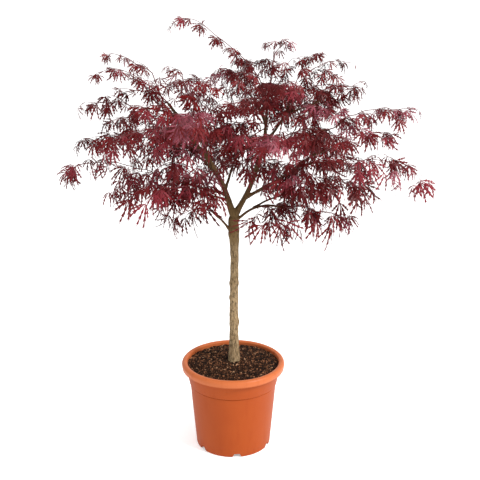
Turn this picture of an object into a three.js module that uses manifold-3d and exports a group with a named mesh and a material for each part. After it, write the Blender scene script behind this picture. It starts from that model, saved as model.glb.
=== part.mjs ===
// Weeping cut-leaf maple grafted as a standard on a straight stem, standing in a round nursery pot.
// Millimetres, +Z up. The origin is the centre of the pot's flat underside, +X is the plant's right
// side and +Y its back. Every limb and every mass of foliage is a solid of its own.
import * as THREE from 'three';
import { mergeVertices } from 'three/addons/utils/BufferGeometryUtils.js';
import Module from 'manifold-3d';

const wasm = await Module();
wasm.setup();

// ---- driving dimensions -------------------------------------------------------------------------

const GAP = 0.3; // clearance kept between pieces that touch
const LEAF_GAP = 0.6; // clearance between two masses of foliage

const POT = {
  height: 254, // to the top of the rolled lip
  lipRadius: 150, // over the rolled lip
  lipWidth: 19, // across the roll
  lipDrop: 17, // height of the roll's outer band
  neckRadius: 129, // wall just under the lip
  stepRadius: 124.6, // wall at the moulded step
  stepHeight: 189,
  stepDepth: 1.6, // how far the wall draws in under the step
  footRadius: 109,
  footBevel: 3,
  wall: 3.2,
  floorThickness: 4,
  ringWidth: 16, // the ring that the pot stands on
  padRadius: 34, // the flat pad in the middle of the underside
  recess: 3.5, // how far the underside is let in between ring and pad
  sides: 36,
};

const NOTCH = {
  count: 6, // drainage notches round the foot
  first: 6, // degrees from the front of the pot to the first notch
  footWidth: 30,
  topWidth: 15,
  height: 11.5,
  depth: 20, // how far each notch runs in, through the edge of the floor
};

const SOIL = {
  top: 241, // surface of the compost
};

const TRUNK = {
  top: 700, // where the stem forks
  lean: 3, // the stem stands this far to the right of the pot's middle
  wave: 2.2, // how far the stem wanders from a straight line
  footRadius: 13.6, // stem just over the root flare
  waistRadius: 10.9, // stem just under the graft
  waistHeight: 590,
  graftRadius: 14.2, // the swelling where the crown was grafted
  graftHeight: 648,
  flareRadius: 19, // root flare at the surface of the compost
  flareHeight: 26,
  flareLobes: 5,
  flareLobeDepth: 0.16,
  sides: 10,
  rings: 12,
};

const LIMB = {
  stoutSides: 8, // faces round a main bough
  slimSides: 6, // faces round a side bough
  stoutRadius: 4.5, // a limb thicker than this at its foot is a main bough
  stretch: 42, // length of one straight stretch
  endGap: 0.5, // how far the foliage stays clear of a limb's end
};

const END = Infinity; // stands for the far end of a limb

// One row to a limb: the limb that carries it and the height of its collar on that limb, its
// compass direction (0 right, 90 back, 180 left, 270 front) and how far that turns along the way,
// its rise at foot and end, its length, and its radius at foot and end.
const LIMBS = [
  // name, carrier, collar height, direction, turn, rise at foot and end, length, radii
  ['bough_left', 'trunk', 694, 176, 8, 79, 47, 245, 8.6, 6.2],
  ['bough_right', 'trunk', 694, 6, -8, 57, 80, 241, 8.2, 5.2],
  ['bough_left_top', 'bough_left', 903, 176, 0, 63, 51, 130, 5.2, 3.3],
  ['bough_leader', 'bough_right', 912, 60, 20, 84, 78, 92, 4.7, 3.4],
  ['bough_low_left', 'trunk', 640, 206, -6, 57, 43, 106, 3.4, 2.6],
  ['bough_low_right', 'trunk', 666, -14, 6, 67, -18, 167, 3.8, 2.5],
  ['bough_right_side', 'bough_low_right', 724, 10, -6, 32, 14, 84, 2.5, 2.0],
  ['bough_right_low', 'bough_right', 748, -4, 6, 29, 32, 162, 4.7, 3.5],
  ['bough_right_far', 'bough_right_low', 818, -4, -2, 40, -7, 121, 2.8, 2.0],
  ['bough_right_mid', 'bough_right_low', 822, 14, -6, 48, 12, 112, 3.0, 2.2],
  ['bough_right_upper', 'bough_right', 868, 2, -4, 34, 11, 188, 3.3, 2.2],
  ['bough_right_top', 'bough_right', 906, 2, 0, 43, 78, 151, 3.6, 2.4],
  ['bough_right_high', 'bough_right_top', 986, -14, 4, 11, 31, 100, 2.4, 1.9],
  ['bough_left_low', 'bough_left', 758, 186, -4, 18, 15, 159, 3.3, 2.3],
  ['bough_left_front_low', 'bough_left', 742, 222, -4, 24, 14, 150, 3.2, 2.2],
  ['bough_left_mid', 'bough_left', 872, 184, 0, 32, -1, 114, 3.0, 2.2],
  ['bough_left_high', 'bough_left_top', 974, 178, 4, 30, -6, 107, 2.5, 1.9],
  ['bough_left_inner', 'bough_left', 862, 112, 34, 78, 58, 166, 3.8, 2.5],
  ['bough_front_left', 'bough_left', 840, 250, 0, 56, 34, 150, 3.6, 2.4],
  ['bough_front_right', 'bough_right', 800, 284, 0, 60, 40, 158, 3.7, 2.4],
  ['bough_front_low', 'bough_right_low', 790, 306, 6, 18, 6, 100, 2.9, 2.2],
  ['bough_front_top', 'bough_leader', 950, 262, -8, 46, 20, 122, 2.8, 2.1],
  ['bough_back_mid', 'bough_left', 772, 66, 20, 46, 12, 150, 3.8, 2.6],
  ['bough_back_left', 'bough_left', 800, 146, -10, 44, 20, 160, 3.6, 2.5],
  ['bough_back_right', 'bough_right', 852, 60, 6, 46, 18, 160, 3.6, 2.4],
  ['bough_back_low', 'bough_right_low', 790, 50, 6, 14, 0, 130, 2.9, 2.2],
  ['bough_back_top', 'bough_leader', 950, 112, 4, 48, 18, 128, 2.8, 2.1],
];

// One row to a mass of foliage: the limb that runs into it and the place on that limb, its
// direction and turn, the rise of its crest at the limb and at the tip, its length along the
// crest, half its width, and how deep the leaves hang under the crest.
const MASSES = [
  // name, limb, place, direction, turn, rise at limb and tip, length, half width, hang
  ['foliage_left_top', 'bough_left_top', END, 178, 2, 53, -61, 273, 70, 40],
  ['foliage_left_shoulder', 'bough_left_top', 985, 192, -4, 34, -62, 226, 62, 42],
  ['foliage_left_high', 'bough_left_high', END, 181, -2, 9, -42, 210, 78, 42],
  ['foliage_left_mid', 'bough_left_mid', END, 183, -4, 11, -56, 270, 98, 46],
  ['foliage_left_low', 'bough_left_low', END, 180, 4, 17, -57, 334, 100, 46],
  ['foliage_left_front_low', 'bough_left_front_low', END, 200, -14, 14, -86, 262, 86, 52],
  ['foliage_low_left', 'bough_low_left', END, 214, -12, 9, -110, 172, 70, 52],
  ['foliage_left_inner', 'bough_left_inner', END, 150, 20, 58, -92, 156, 84, 46],
  ['foliage_crown_tip', 'bough_leader', END, 168, 12, 59, -23, 374, 66, 38],
  ['foliage_crown_centre', 'bough_leader', END, 14, 10, 86, -26, 232, 76, 42],
  ['foliage_right_top', 'bough_right_top', END, 2, 4, 47, -96, 226, 80, 42],
  ['foliage_right_high', 'bough_right_high', END, -6, 0, 30, -83, 175, 76, 42],
  ['foliage_right_upper', 'bough_right_upper', END, -2, 2, 23, -60, 296, 98, 44],
  ['foliage_right_mid', 'bough_right_mid', END, 6, -2, 23, -48, 235, 92, 44],
  ['foliage_right_far', 'bough_right_far', END, -4, 2, 2, -43, 278, 92, 42],
  ['foliage_right_side', 'bough_right_side', END, -4, 0, 16, -48, 300, 88, 48],
  ['foliage_right_low', 'bough_low_right', END, -10, 4, -5, -59, 238, 66, 46],
  ['foliage_low_front', 'bough_low_right', 729, -72, 8, 2, -80, 214, 66, 50],
  ['foliage_front_left', 'bough_front_left', END, 222, 4, 12, -58, 330, 94, 46],
  ['foliage_front_centre_left', 'bough_front_left', END, 266, 2, 28, -60, 322, 88, 48],
  ['foliage_front_centre_right', 'bough_front_right', END, 274, 2, 20, -60, 322, 88, 48],
  ['foliage_front_right', 'bough_front_right', END, 314, 0, 20, -56, 330, 94, 46],
  ['foliage_front_top', 'bough_front_top', END, 260, 2, 18, -56, 290, 92, 42],
  ['foliage_front_low_left', 'bough_left_front_low', 786, 246, 0, 18, -62, 320, 86, 52],
  ['foliage_front_low_right', 'bough_front_low', END, 310, 0, 10, -58, 310, 92, 50],
  ['foliage_back_centre', 'bough_back_mid', END, 96, 0, 16, -54, 300, 96, 46],
  ['foliage_back_left', 'bough_back_left', END, 140, 0, 18, -56, 330, 98, 46],
  ['foliage_back_right', 'bough_back_right', END, 54, 0, 18, -56, 320, 98, 46],
  ['foliage_back_low', 'bough_back_low', END, 40, 0, 8, -54, 310, 90, 48],
  ['foliage_back_top', 'bough_back_top', END, 112, 0, 20, -54, 300, 98, 42],
];

const MASS = {
  stations: 7, // cross-sections along a mass
  slices: 4, // faces from edge to edge of a cross-section
  droop: 3, // how late the crest bends down towards its tip
  lift: 12, // how far leaves stand above the crest
  sideFall: 0.42, // how far the edges fall below the crest, for each unit of width
  uneven: 0.24, // how much width and depth wander from station to station
  ruffle: 5, // how far single points sink
  edge: 3, // thickness at the edges
  overlap: 6, // how far a mass reaches back along the limb that feeds it
};

const FINISH = {
  terracotta: { color: 0xc0653a, roughness: 0.55 },
  compost: { color: 0x46301f, roughness: 0.95 },
  bark: { color: 0x99836a, roughness: 0.85 },
  leaf: { color: 0x6b2f33, roughness: 0.6 },
};

// ---- helpers ------------------------------------------------------------------------------------

function radians(degrees) {
  return THREE.MathUtils.degToRad(degrees);
}

// A step of the given length in a compass direction and a rise, both in degrees.
function stride(direction, rise, length) {
  const flat = length * Math.cos(radians(rise));
  const x = flat * Math.cos(radians(direction));
  const y = flat * Math.sin(radians(direction));
  return new THREE.Vector3(x, y, length * Math.sin(radians(rise)));
}

// A repeatable number from 0 to 1 for a pair of whole numbers.
function scatter(a, b) {
  const wave = Math.sin(a * 127.1 + b * 311.7) * 43758.5453;
  return wave - Math.floor(wave);
}

// Points along a path that turns and bends evenly; ease above 1 puts the bend late.
function bendingPath(start, direction, turn, riseStart, riseEnd, length, steps, ease) {
  const points = [start.clone()];
  for (let i = 0; i < steps; i += 1) {
    const t = (i + 0.5) / steps;
    const rise = THREE.MathUtils.lerp(riseStart, riseEnd, t ** ease);
    const step = stride(direction + turn * t, rise, length / steps);
    points.push(points[i].clone().add(step));
  }
  return points;
}

// A closed geometry from vertices and triangles given as index triples.
function closedGeometry(vertices, triangles) {
  const positions = vertices.flatMap((vertex) => vertex.toArray());
  const geometry = new THREE.BufferGeometry();
  geometry.setAttribute('position', new THREE.Float32BufferAttribute(positions, 3));
  geometry.setIndex(triangles.flat());
  return geometry;
}

// Joins rings of equal count into a skin and closes both ends on a middle point.
function skinRings(rings, firstMiddle, lastMiddle) {
  const vertices = rings.flat();
  const sides = rings[0].length;
  const triangles = [];
  for (let r = 0; r + 1 < rings.length; r += 1) {
    for (let s = 0; s < sides; s += 1) {
      const a = r * sides + s;
      const b = r * sides + ((s + 1) % sides);
      triangles.push([a, b, b + sides], [a, b + sides, a + sides]);
    }
  }
  const first = vertices.push(firstMiddle) - 1;
  const last = vertices.push(lastMiddle) - 1;
  const top = (rings.length - 1) * sides;
  for (let s = 0; s < sides; s += 1) {
    const next = (s + 1) % sides;
    triangles.push([first, next, s], [last, top + s, top + next]);
  }
  return closedGeometry(vertices, triangles);
}

// A geometry as a solid that can be joined and cut.
function solidOf(geometry) {
  const bare = geometry.clone();
  bare.deleteAttribute('normal');
  bare.deleteAttribute('uv');
  const merged = mergeVertices(bare, 1e-4);
  const vertProperties = Float32Array.from(merged.attributes.position.array);
  const triVerts = Uint32Array.from(merged.index.array);
  return new wasm.Manifold(new wasm.Mesh({ numProp: 3, vertProperties, triVerts }));
}

// The largest body of a solid, as a geometry.
function geometryOf(solid) {
  const bodies = solid.decompose();
  const largest = bodies.reduce((best, body) => (body.volume() > best.volume() ? body : best));
  const { vertProperties, triVerts } = largest.getMesh();
  const geometry = new THREE.BufferGeometry();
  geometry.setAttribute('position', new THREE.BufferAttribute(Float32Array.from(vertProperties), 3));
  geometry.setIndex(new THREE.BufferAttribute(Uint32Array.from(triVerts), 1));
  return geometry;
}

function namedMesh(name, geometry, finish) {
  const shaded = geometry.toNonIndexed();
  shaded.computeVertexNormals();
  const material = new THREE.MeshStandardMaterial({ ...FINISH[finish], metalness: 0 });
  const mesh = new THREE.Mesh(shaded, material);
  mesh.name = name;
  return mesh;
}

// ---- pot and compost ----------------------------------------------------------------------------

// Radius of the outer wall at a height between foot and lip.
function wallRadius(z) {
  const { footRadius, stepRadius, stepHeight, neckRadius, height, lipDrop } = POT;
  if (z < stepHeight) {
    return THREE.MathUtils.mapLinear(z, 0, stepHeight, footRadius, stepRadius - POT.stepDepth);
  }
  return THREE.MathUtils.mapLinear(z, stepHeight, height - lipDrop, stepRadius, neckRadius);
}

// The pot's outline from the middle of its underside, round the lip, to the middle of its floor.
function potProfile() {
  const { height, lipRadius, lipWidth, lipDrop, wall, floorThickness, recess } = POT;
  const lipBottom = height - lipDrop;
  const roll = lipWidth / 2;
  const innerLip = lipRadius - lipWidth;
  const floorTop = recess + floorThickness;
  const profile = [
    [0, 0],
    [POT.padRadius, 0],
    [POT.padRadius + recess, recess],
    [POT.footRadius - POT.ringWidth - recess, recess],
    [POT.footRadius - POT.ringWidth, 0],
    [POT.footRadius - POT.footBevel, 0],
    [wallRadius(POT.footBevel), POT.footBevel],
    [wallRadius(POT.stepHeight - 0.01), POT.stepHeight - 2],
    [wallRadius(POT.stepHeight), POT.stepHeight],
    [wallRadius(lipBottom), lipBottom],
    [lipRadius - 2, lipBottom],
    [lipRadius, lipBottom + lipDrop * 0.5],
    [lipRadius - 3, height - 2.6],
    [lipRadius - roll, height],
    [innerLip, height - 3],
    [wallRadius(lipBottom) - wall, lipBottom - 6],
    [wallRadius(POT.stepHeight) - wall - POT.stepDepth, POT.stepHeight],
    [wallRadius(floorTop) - wall, floorTop],
    [0, floorTop],
  ];
  return profile.map(([radius, z]) => new THREE.Vector2(radius, z));
}

// A lathe turned about Z, closed on the axis.
function turned(profile, sides) {
  const geometry = new THREE.LatheGeometry(profile, sides);
  geometry.rotateX(Math.PI / 2);
  return geometry;
}

// One drainage notch: a tapering slot through the foot ring.
function notchGeometry(direction) {
  const outline = new THREE.Shape();
  outline.moveTo(-NOTCH.footWidth / 2, -1);
  outline.lineTo(NOTCH.footWidth / 2, -1);
  outline.lineTo(NOTCH.topWidth / 2, NOTCH.height);
  outline.lineTo(-NOTCH.topWidth / 2, NOTCH.height);
  outline.closePath();
  const reach = NOTCH.depth + POT.wall;
  const geometry = new THREE.ExtrudeGeometry(outline, { depth: reach, bevelEnabled: false });
  geometry.rotateX(Math.PI / 2);
  geometry.translate(0, -(POT.footRadius - NOTCH.depth), 0);
  geometry.rotateZ(radians(direction));
  return geometry;
}

// The pot with its notches cut; they open its floor at the edge, so it drains.
function potGeometry() {
  let pot = solidOf(turned(potProfile(), POT.sides));
  for (let i = 0; i < NOTCH.count; i += 1) {
    const direction = NOTCH.first + (i * 360) / NOTCH.count;
    pot = pot.subtract(solidOf(notchGeometry(direction)));
  }
  return geometryOf(pot);
}

// The compost: a plug that follows the inside of the pot from its floor to below the lip.
function compostGeometry() {
  const clear = POT.wall + 2 * GAP;
  const bed = POT.recess + POT.floorThickness + GAP;
  const lipBottom = POT.height - POT.lipDrop;
  const profile = [
    [0, bed],
    [wallRadius(bed) - clear, bed],
    [wallRadius(POT.stepHeight) - clear - POT.stepDepth, POT.stepHeight],
    [wallRadius(lipBottom) - clear, lipBottom - 6],
    [wallRadius(lipBottom) - clear, SOIL.top],
    [0, SOIL.top],
  ];
  return turned(profile.map(([radius, z]) => new THREE.Vector2(radius, z)), POT.sides);
}

// ---- stem and limbs -----------------------------------------------------------------------------

// Middle of the stem at a height.
function stemMiddle(z) {
  const t = (z - SOIL.top) / (TRUNK.top - SOIL.top);
  const x = TRUNK.lean + TRUNK.wave * Math.sin(t * 2.6 * Math.PI + 2.2) * t;
  const y = TRUNK.wave * Math.sin(t * 1.9 * Math.PI) * 0.8;
  return new THREE.Vector3(x, y, z);
}

// Radius of the stem at a height, without the root flare.
function stemRadius(z) {
  const { footRadius, waistRadius, waistHeight, graftRadius, graftHeight, top } = TRUNK;
  if (z < waistHeight) {
    const t = (z - SOIL.top) / (waistHeight - SOIL.top);
    return THREE.MathUtils.lerp(footRadius, waistRadius, Math.sqrt(t));
  }
  const swell = THREE.MathUtils.smoothstep(z, waistHeight, graftHeight);
  const shoulder = THREE.MathUtils.smoothstep(z, graftHeight, top) * 0.6;
  return THREE.MathUtils.lerp(waistRadius, graftRadius, swell) - shoulder;
}

function stemRing(z, grow) {
  const middle = stemMiddle(z);
  const flare = Math.exp(-(z - SOIL.top) / TRUNK.flareHeight);
  const ring = [];
  for (let s = 0; s < TRUNK.sides; s += 1) {
    const angle = (s / TRUNK.sides) * Math.PI * 2;
    const lobe = 1 + TRUNK.flareLobeDepth * flare * Math.sin(angle * TRUNK.flareLobes);
    const spread = (TRUNK.flareRadius - TRUNK.footRadius) * flare;
    const radius = (stemRadius(z) + spread) * lobe + grow;
    ring.push(new THREE.Vector3(radius * Math.cos(angle), radius * Math.sin(angle), 0).add(middle));
  }
  return ring;
}

// The stem from its flat cut at the compost to the crotch, ending in a low dome.
function stemGeometry(grow) {
  const foot = SOIL.top + GAP - grow;
  const rings = [];
  for (let i = 0; i <= TRUNK.rings; i += 1) {
    const t = i / TRUNK.rings;
    rings.push(stemRing(THREE.MathUtils.lerp(foot, TRUNK.top, t ** 1.25), grow));
  }
  const top = stemMiddle(TRUNK.top + 3 + grow);
  return skinRings(rings, stemMiddle(foot), top);
}

// A round limb along a path whose radius tapers evenly; grow thickens it and lengthens its end.
function limbGeometry(path, radiusFoot, radiusEnd, grow) {
  const curve = new THREE.CatmullRomCurve3(path);
  const steps = path.length - 1;
  const frames = curve.computeFrenetFrames(steps, false);
  const sides = radiusFoot > LIMB.stoutRadius ? LIMB.stoutSides : LIMB.slimSides;
  const points = path.map((p) => p.clone());
  points[steps].addScaledVector(frames.tangents[steps], grow > 0 ? LIMB.endGap : 0);
  const rings = points.map((point, i) => {
    const radius = THREE.MathUtils.lerp(radiusFoot, radiusEnd, i / steps) + grow;
    const ring = [];
    for (let s = 0; s < sides; s += 1) {
      const angle = (s / sides) * Math.PI * 2;
      const offset = frames.normals[i].clone().multiplyScalar(Math.cos(angle));
      offset.addScaledVector(frames.binormals[i], Math.sin(angle));
      ring.push(offset.multiplyScalar(radius).add(point));
    }
    return ring;
  });
  return skinRings(rings, points[0], points[steps]);
}

// The point where a path first passes a height.
function pointAtHeight(path, z) {
  for (let i = 0; i + 1 < path.length; i += 1) {
    const low = path[i];
    const high = path[i + 1];
    if (low.z <= z && high.z >= z) {
      return low.clone().lerp(high, (z - low.z) / (high.z - low.z));
    }
  }
  return path[path.length - 1].clone();
}

// ---- foliage ------------------------------------------------------------------------------------

// Share of the full width at a place from 0, at the limb, to 1, at the tip.
function leafyWidth(t) {
  return Math.sin(Math.PI * t ** 0.72) ** 0.62;
}

// One mass of foliage: a drooping, uneven blade under an arching crest. Its cross-sections are
// crowned above and hollow below, thin at the edges, and close on a point at the tip. Grow
// thickens it all round.
function massGeometry(crest, halfWidth, hang, seed, grow) {
  const rings = [];
  for (let i = 1; i < MASS.stations; i += 1) {
    const fullness = leafyWidth(i / MASS.stations);
    const wander = 1 + MASS.uneven * (scatter(seed, i) * 2 - 1);
    const deepening = 1 + MASS.uneven * (scatter(i, seed) * 2 - 1);
    const width = halfWidth * fullness * wander + grow;
    const depth = hang * (0.4 + 0.6 * fullness) * deepening - MASS.edge;
    const along = crest[i + 1].clone().sub(crest[i - 1]);
    const side = new THREE.Vector3(-along.y, along.x, 0).normalize();
    const upper = [];
    const lower = [];
    for (let s = 0; s <= MASS.slices; s += 1) {
      const v = (2 * s) / MASS.slices - 1;
      const fall = MASS.sideFall * width * v * v + MASS.ruffle * scatter(seed + s, i);
      const thickness = MASS.edge + depth * (1 - v * v);
      const top = crest[i].clone().addScaledVector(side, v * width);
      top.z += MASS.lift * fullness - fall + grow;
      upper.push(top);
      lower.unshift(top.clone().setZ(top.z - thickness - 2 * grow));
    }
    rings.push([...upper, ...lower].reverse());
  }
  const along = crest[1].clone().sub(crest[0]).setLength(grow);
  const foot = crest[0].clone().sub(along);
  return skinRings(rings, foot, crest[MASS.stations].clone().add(along));
}

// ---- assembly -----------------------------------------------------------------------------------

const plant = new THREE.Group();
plant.add(namedMesh('pot', potGeometry(), 'terracotta'));
plant.add(namedMesh('compost', compostGeometry(), 'compost'));
plant.add(namedMesh('trunk', stemGeometry(0), 'bark'));

const stemHeights = Array.from({ length: 24 }, (_, i) => THREE.MathUtils.lerp(SOIL.top, TRUNK.top, i / 23));
const paths = new Map([['trunk', stemHeights.map(stemMiddle)]]);
let clearance = solidOf(stemGeometry(GAP));

for (const [name, carrier, collar, direction, turn, riseFoot, riseEnd, length, foot, end] of LIMBS) {
  const start = pointAtHeight(paths.get(carrier), collar);
  const steps = Math.max(3, Math.round(length / LIMB.stretch));
  const path = bendingPath(start, direction, turn, riseFoot, riseEnd, length, steps, 1);
  const limb = solidOf(limbGeometry(path, foot, end, 0)).subtract(clearance);
  clearance = clearance.add(solidOf(limbGeometry(path, foot, end, GAP)));
  paths.set(name, path);
  plant.add(namedMesh(name, geometryOf(limb), 'bark'));
}

MASSES.forEach(([name, limb, place, direction, turn, riseFoot, riseTip, length, halfWidth, hang], i) => {
  const root = pointAtHeight(paths.get(limb), place);
  const start = root.clone().sub(stride(direction, riseFoot, MASS.overlap));
  const crest = bendingPath(start, direction, turn, riseFoot, riseTip, length, MASS.stations, MASS.droop);
  const mass = solidOf(massGeometry(crest, halfWidth, hang, i + 1, 0)).subtract(clearance);
  clearance = clearance.add(solidOf(massGeometry(crest, halfWidth, hang, i + 1, LEAF_GAP)));
  plant.add(namedMesh(name, geometryOf(mass), 'leaf'));
});

export default plant;
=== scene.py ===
import math
import random

import bmesh
import bpy
import numpy as np
from mathutils import Euler, Matrix, Vector, kdtree, noise


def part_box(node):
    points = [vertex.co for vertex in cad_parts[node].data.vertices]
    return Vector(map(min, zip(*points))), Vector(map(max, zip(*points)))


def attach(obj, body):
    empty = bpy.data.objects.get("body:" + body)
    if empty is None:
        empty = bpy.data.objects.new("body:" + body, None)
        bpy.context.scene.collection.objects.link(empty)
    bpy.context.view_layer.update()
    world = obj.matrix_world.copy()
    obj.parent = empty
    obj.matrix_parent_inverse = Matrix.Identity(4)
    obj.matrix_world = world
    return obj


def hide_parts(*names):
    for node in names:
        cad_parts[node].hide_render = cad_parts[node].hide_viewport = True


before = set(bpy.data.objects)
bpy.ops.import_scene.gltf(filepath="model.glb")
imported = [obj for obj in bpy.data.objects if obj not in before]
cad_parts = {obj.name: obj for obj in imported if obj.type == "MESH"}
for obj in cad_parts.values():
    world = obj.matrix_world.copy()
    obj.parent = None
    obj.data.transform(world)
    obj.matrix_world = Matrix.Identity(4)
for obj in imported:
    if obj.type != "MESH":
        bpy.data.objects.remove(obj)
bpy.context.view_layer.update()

ROOT = "root"


# ---- The pot ------------------------------------------------------------------------------------
# A 12 litre nursery pot, injection moulded in terracotta-coloured plastic. The lip is rolled over
# and hollow underneath, the wall draws in at a step, and six notches in the foot let water out.
# It stands on the floor by its own weight. The lip carries a painted highlight and the shaded inner face
# painted light, both in a paler colour.

pot_low, pot_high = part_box("pot")
POT_LIP_RADIUS = (pot_high.x - pot_low.x) / 2
POT_RAISED = 0.0065
POT_HEIGHT = pot_high.z + POT_RAISED
POT_LIP_WIDTH = 0.0165
POT_LIP_DROP = 0.0215
POT_LIP_HEM = 0.0009
POT_LIP_ROLL = 0.0095
POT_LIP_HOLLOW = 0.004
POT_INNER_ROLL = 0.0052
POT_NECK_RADIUS = 0.1372
POT_STEP_RADIUS = 0.1280
POT_STEP_HEIGHT = 0.1945
POT_STEP_DEPTH = 0.0022
POT_GROOVE = 0.0012
POT_FOOT_RADIUS = 0.109
POT_FOOT_BEVEL = 0.004
POT_WALL = 0.0022
POT_FLOOR = 0.0075
POT_RING_WIDTH = 0.016
POT_RECESS = 0.0035
POT_PAD_RADIUS = 0.034
POT_SIDES = 160
NOTCH_COUNT = 6
NOTCH_FIRST = 6.0
NOTCH_FOOT_WIDTH = 0.030
NOTCH_TOP_WIDTH = 0.015
NOTCH_HEIGHT = 0.0115
NOTCH_DEPTH = 0.020
TERRACOTTA = (0.302, 0.049, 0.0045)
TERRACOTTA_DEEP = (0.26, 0.038, 0.005)
TERRACOTTA_PALE = (0.355, 0.066, 0.008)
# Painted light: the colour of the painted highlight on the lip and of the painted light on the shaded
# inner face.
TERRACOTTA_PAINTED_LIGHT = (0.46, 0.118, 0.036)
POT_EDGE_SOFTNESS = 250.0
POT_FACE_SOFTNESS = 1500.0
POT_INNER_START = 0.02


class Value:
    """A node's output that can stand in a sum: each operation adds its Math node."""

    def __init__(self, tree, socket):
        self.tree = tree
        self.socket = socket

    def _math(self, operation, first, second):
        return self.tree.add("ShaderNodeMath", {"operation": operation}, {0: first, 1: second})

    def __add__(self, other):
        return self._math("ADD", self, other)

    def __radd__(self, other):
        return self._math("ADD", other, self)

    def __sub__(self, other):
        return self._math("SUBTRACT", self, other)

    def __rsub__(self, other):
        return self._math("SUBTRACT", other, self)

    def __mul__(self, other):
        return self._math("MULTIPLY", self, other)

    def __rmul__(self, other):
        return self._math("MULTIPLY", other, self)


class Tree:
    """A node tree, built one node at a time."""

    def __init__(self, tree):
        self.tree = tree

    def add(self, kind, settings=None, inputs=None, output=0):
        """Adds a node: its settings first, then the values or links of its sockets."""
        made = self.tree.nodes.new(kind)
        for key, value in (settings or {}).items():
            if key == "stops":
                for element, (position, level) in zip(made.color_ramp.elements, value):
                    element.position = position
                    element.color = (level, level, level, 1.0)
            else:
                setattr(made, key, value)
        for socket, value in (inputs or {}).items():
            self.feed(made.inputs[socket], value)
        return Value(self, made.outputs[output]) if len(made.outputs) else None

    def feed(self, socket, value):
        if isinstance(value, Value):
            self.tree.links.new(value.socket, socket)
        elif isinstance(value, tuple) and socket.type == "RGBA":
            socket.default_value = (*value, 1.0)
        else:
            socket.default_value = value


class Finish(Tree):
    """A material made of nodes round one Principled shader."""

    def __init__(self, name, constants):
        self.material = bpy.data.materials.new(name)
        self.material.use_nodes = True
        super().__init__(self.material.node_tree)
        self.shader = next(n for n in self.tree.nodes if n.type == "BSDF_PRINCIPLED")
        self.constants(constants)

    def constants(self, values):
        for socket, value in values.items():
            self.feed(self.shader.inputs[socket], value)
        return self.material

    def place(self, scale=(1.0, 1.0, 1.0)):
        """The point on the piece, in metres, stretched by a scale."""
        spot = self.add("ShaderNodeTexCoord", output="Object")
        return self.add("ShaderNodeMapping", {}, {"Vector": spot, "Scale": scale})

    def grain(self, scale, detail=3.0, stretch=(1.0, 1.0, 1.0), roughness=0.55):
        """Smooth noise from 0 to 1 with so many bumps to a metre."""
        sockets = {"Vector": self.place(stretch), "Scale": scale, "Detail": detail, "Roughness": roughness}
        return self.add("ShaderNodeTexNoise", {}, sockets)

    def blend(self, factor, first, second):
        """A colour between two colours."""
        settings = {"data_type": "RGBA", "clamp_factor": True}
        return self.add("ShaderNodeMix", settings, {0: factor, 6: first, 7: second}, output=2)

    def fade(self, factor, low, high, ends=(0.0, 1.0)):
        """A number that goes from the first end to the second while a factor goes from low to high."""
        return self.add("ShaderNodeValToRGB", {"stops": zip((low, high), ends)}, {0: factor})

    def surface(self, colour, roughness, height, relief):
        """Feeds the shader: colour, roughness, and a height in metres as relief."""
        bump = self.add("ShaderNodeBump", {}, {"Height": height, "Distance": relief, "Strength": 1.0})
        return self.constants({"Base Color": colour, "Roughness": roughness, "Normal": bump})


def plastic_finish():
    """Cloudy plastic with faint scuffs and specks, a painted highlight on the lip and painted light on the
    inner face.
    """
    finish = Finish("terracotta_plastic", {"Specular IOR Level": 0.15})
    cloudy = finish.grain(9.0, 2.0)
    colour = finish.blend(finish.fade(cloudy, 0.35, 0.72) * 0.4, TERRACOTTA, TERRACOTTA_PALE)
    height = finish.add("ShaderNodeSeparateXYZ", {}, {0: finish.place()}, output="Z")
    flat = finish.place((1.0, 1.0, 0.0))
    reach = finish.add("ShaderNodeVectorMath", {"operation": "LENGTH"}, {0: flat}, output="Value")
    lip_bottom = POT_HEIGHT - POT_LIP_DROP
    above = finish.fade((height - lip_bottom) * POT_EDGE_SOFTNESS, 0.0, 1.0)
    outside = finish.fade((reach - (POT_LIP_RADIUS - POT_LIP_WIDTH)) * POT_EDGE_SOFTNESS, 0.0, 1.0)
    # Painted highlight: the lip's sheen from the sky is painted into its colour.
    painted_lip_highlight = above * outside
    colour = finish.blend(painted_lip_highlight, colour, TERRACOTTA_PAINTED_LIGHT)
    slope = (POT_NECK_RADIUS - POT_STEP_RADIUS) / (lip_bottom - POT_STEP_HEIGHT)
    mid_wall = (height - POT_STEP_HEIGHT) * slope + (POT_STEP_RADIUS - POT_WALL / 2)
    # Painted light: the upper inner face, which lies in shade, is painted paler.
    inner_face_painted_light = finish.fade((mid_wall - reach) * POT_FACE_SOFTNESS, 0.0, 1.0)
    upper_part = (height - (POT_STEP_HEIGHT + POT_INNER_START)) * POT_EDGE_SOFTNESS
    upper_part = finish.fade(upper_part, 0.0, 1.0)
    colour = finish.blend(inner_face_painted_light * upper_part * 0.8, colour, TERRACOTTA_PAINTED_LIGHT)
    scuffed = finish.fade(finish.grain(60.0, 3.0, (1.0, 1.0, 0.12)), 0.55, 0.8)
    colour = finish.blend(scuffed * 0.35, colour, TERRACOTTA_DEEP)
    specks = finish.fade(finish.grain(420.0, 1.0), 0.70, 0.76)
    colour = finish.blend(specks * 0.35, colour, TERRACOTTA_DEEP)
    roughness = 0.46 + cloudy * 0.10 + scuffed * 0.08 - painted_lip_highlight * 0.12
    orange_peel = finish.grain(900.0, 2.0) * 0.6 + finish.grain(160.0, 2.0) * 0.4
    return finish.surface(colour, roughness, orange_peel, 0.00009)


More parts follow.
